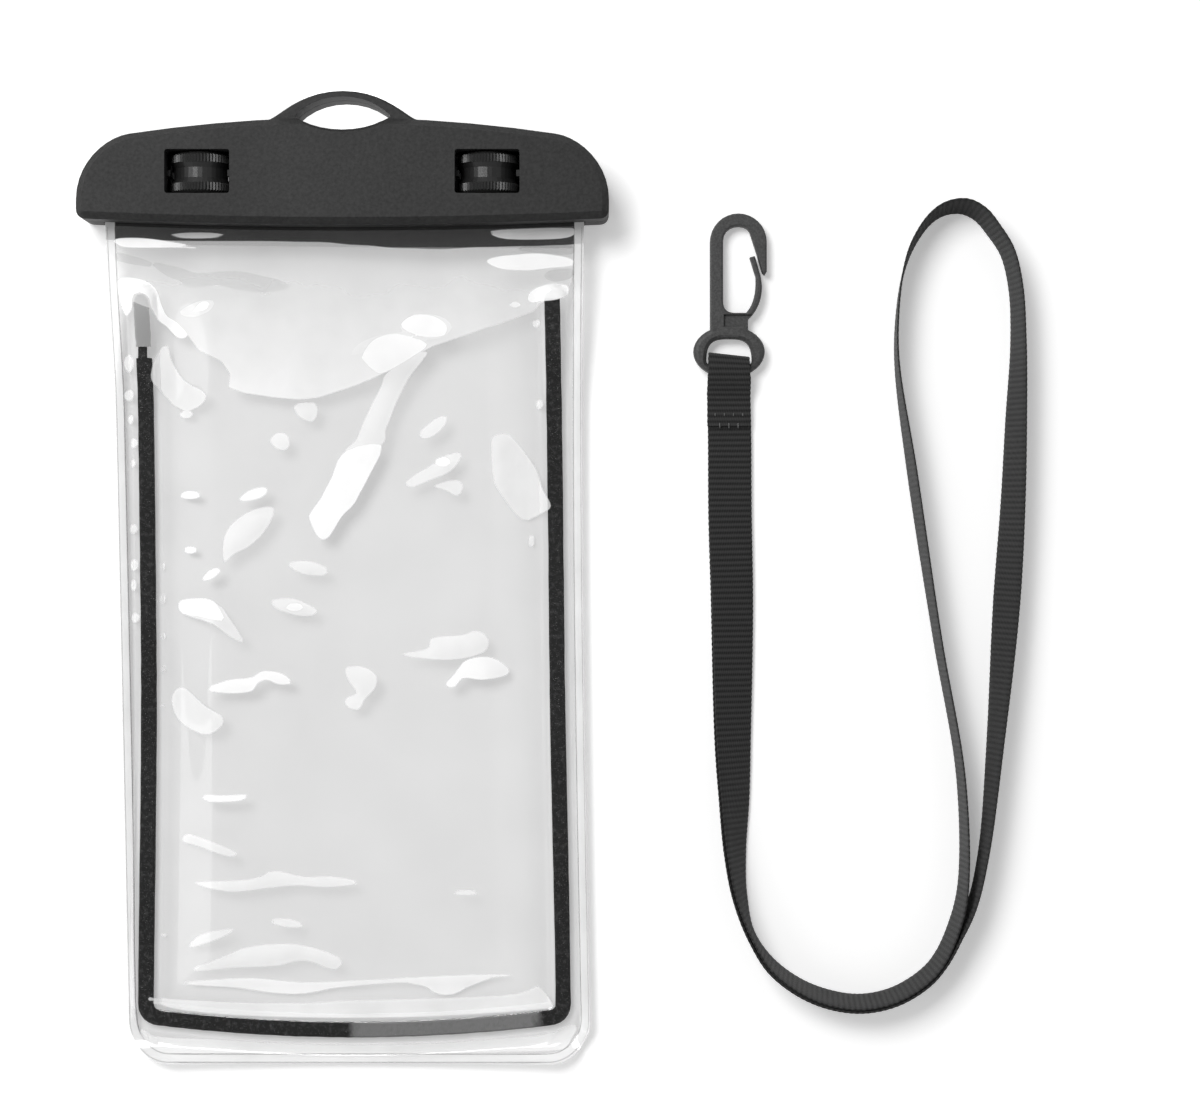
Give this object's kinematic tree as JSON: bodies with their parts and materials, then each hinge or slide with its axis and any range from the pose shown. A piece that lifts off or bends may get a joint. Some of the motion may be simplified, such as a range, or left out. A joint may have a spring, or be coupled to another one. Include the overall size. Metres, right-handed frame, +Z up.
{
  "type": "waterproof phone pouch",
  "caption": "Clear welded phone pouch with a two-part clamp closure, thumb rollers, an eyelet, and a neck lanyard with a snap hook.",
  "frame": {"origin": "under the middle of the pouch, on the surface that it lies on, without the lanyard", "axes": "+X along the clamp to the right, +Y from the bag's foot to the eyelet, +Z up out of the pouch's front"},
  "size_m": [0.2149, 0.221, 0.015],
  "materials": {
    "clamp_plastic": "fine-grained black moulding",
    "roller_plastic": "satin black, knurled",
    "gasket_rubber": "soft grey seal",
    "clear_film": "clear glossy film",
    "strip_rubber": "dull black strip",
    "tape_webbing": "ribbed woven black tape",
    "hook_plastic": "satin black moulding"
  },
  "bodies": {
    "root": {"header_rear_shell": "clamp_plastic", "rear_gasket": "gasket_rubber", "back_film": "clear_film", "front_film": "clear_film", "edge_strip": "strip_rubber", "lanyard_strap": "tape_webbing", "lanyard_hook": "hook_plastic"},
    "front_half": {"header_front_shell": "clamp_plastic", "front_gasket": "gasket_rubber"},
    "left_roller": {"roller_left": "roller_plastic"},
    "right_roller": {"roller_right": "roller_plastic"}
  },
  "joints": [
    {"name": "clamp_open", "type": "slide", "parent": "root", "child": "front_half", "axis": [0, 0, 1], "range_m": [0, 0.012]},
    {"name": "roller_left_turn", "type": "hinge", "parent": "root", "child": "left_roller", "pos_m": [-0.0326, 0.09215, 0.0075], "axis": [0, 1, 0], "range_deg": [0, 90]},
    {"name": "roller_right_turn", "type": "hinge", "parent": "root", "child": "right_roller", "pos_m": [0.0326, 0.09215, 0.0075], "axis": [0, 1, 0], "range_deg": [0, 90]}
  ]
}
